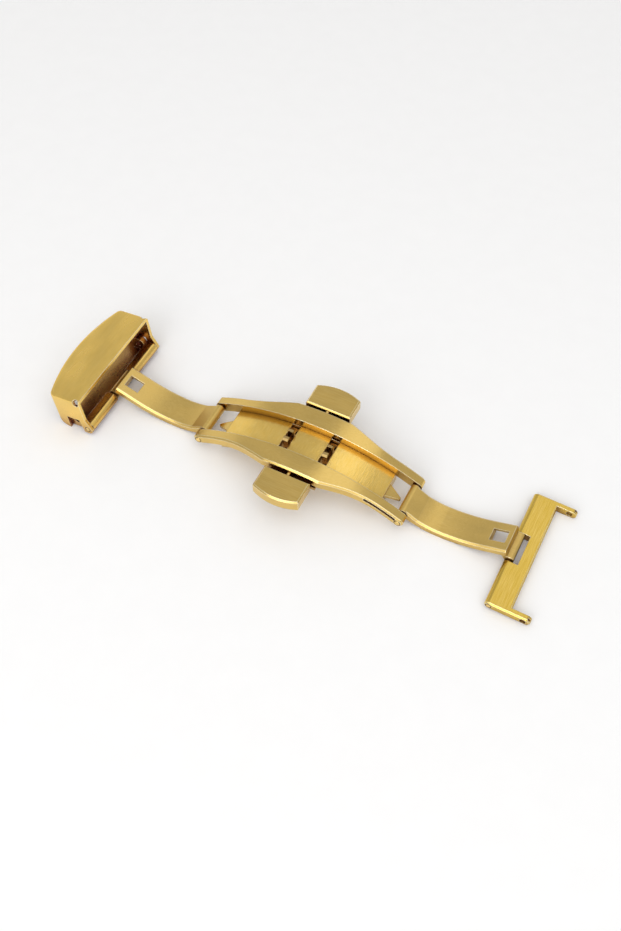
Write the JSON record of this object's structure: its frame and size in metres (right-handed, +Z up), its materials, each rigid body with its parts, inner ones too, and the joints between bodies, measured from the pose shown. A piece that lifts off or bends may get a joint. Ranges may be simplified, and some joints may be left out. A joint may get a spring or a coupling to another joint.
{
  "type": "butterfly watch strap clasp",
  "caption": "Push-button butterfly clasp for a watch strap, shown open: arched frame, two folding arms, a lugged strap plate and a hinged hood over the other strap end.",
  "frame": {"origin": "bottom centre of the overall box, on the surface the open clasp lies on", "axes": "+X along the open clasp from the hood to the strap plate, +Y across the strap towards the far pusher, +Z up from the surface"},
  "size_m": [0.0783, 0.0218, 0.0072],
  "materials": {
    "brushed_gold": "gold-plated stainless steel, brushed with polished bevels",
    "slide_steel": "gold-plated stainless steel, satin",
    "pin_gold": "gold-plated pins, polished",
    "spring_steel": "bare spring wire"
  },
  "bodies": {
    "frame": {"center_frame": "brushed_gold", "latch_cover_plate": "brushed_gold", "cover_plate_rivets": "pin_gold", "left_frame_pin": "pin_gold", "right_frame_pin": "pin_gold", "near_return_spring": "spring_steel", "far_return_spring": "spring_steel"},
    "near_pusher": {"near_pusher_button": "brushed_gold", "near_slide": "slide_steel", "near_button_rivets": "pin_gold", "near_guide_pin": "pin_gold"},
    "far_pusher": {"far_pusher_button": "brushed_gold", "far_slide": "slide_steel", "far_button_rivets": "pin_gold", "far_guide_pin": "pin_gold"},
    "right_arm": {"right_arm": "brushed_gold"},
    "left_arm": {"left_arm": "brushed_gold"},
    "strap_end": {"strap_plate": "brushed_gold", "right_end_pin": "pin_gold"},
    "hood_end": {"buckle_base": "brushed_gold", "left_end_pin": "pin_gold"},
    "hood": {"buckle_cover": "brushed_gold"}
  },
  "joints": [
    {"name": "right_arm_hinge", "type": "hinge", "parent": "frame", "child": "right_arm", "pos_m": [0.017, 0, 0.00205], "axis": [0, -1, 0], "range_deg": [-8, 162.5]},
    {"name": "left_arm_hinge", "type": "hinge", "parent": "frame", "child": "left_arm", "pos_m": [-0.0154, 0, 0.00205], "axis": [0, 1, 0], "range_deg": [-8, 161.4]},
    {"name": "right_plate_hinge", "type": "hinge", "parent": "right_arm", "child": "strap_end", "pos_m": [0.03315, 0, 0.0009], "axis": [0, 1, 0], "range_deg": [-60, 163]},
    {"name": "left_plate_hinge", "type": "hinge", "parent": "left_arm", "child": "hood_end", "pos_m": [-0.03156, 0, 0.00121], "axis": [0, -1, 0], "range_deg": [-60, 162]},
    {"name": "cover_hinge", "type": "hinge", "parent": "hood_end", "child": "hood", "pos_m": [-0.03156, 0, 0.00121], "axis": [0, 1, 0], "range_deg": [0, 60]},
    {"name": "near_pusher_slide", "type": "slide", "parent": "frame", "child": "near_pusher", "axis": [0, 1, 0], "range_m": [0, 0.00045], "stiffness_N_per_m": 80, "springref_m": -0.001, "deforming": ["near_return_spring"]},
    {"name": "far_pusher_slide", "type": "slide", "parent": "frame", "child": "far_pusher", "axis": [0, -1, 0], "range_m": [0, 0.00045], "stiffness_N_per_m": 80, "springref_m": -0.001, "deforming": ["far_return_spring"]}
  ],
  "couplings": [
    {"joint": "left_plate_hinge", "follows": "left_arm_hinge", "ratio": 1}
  ]
}
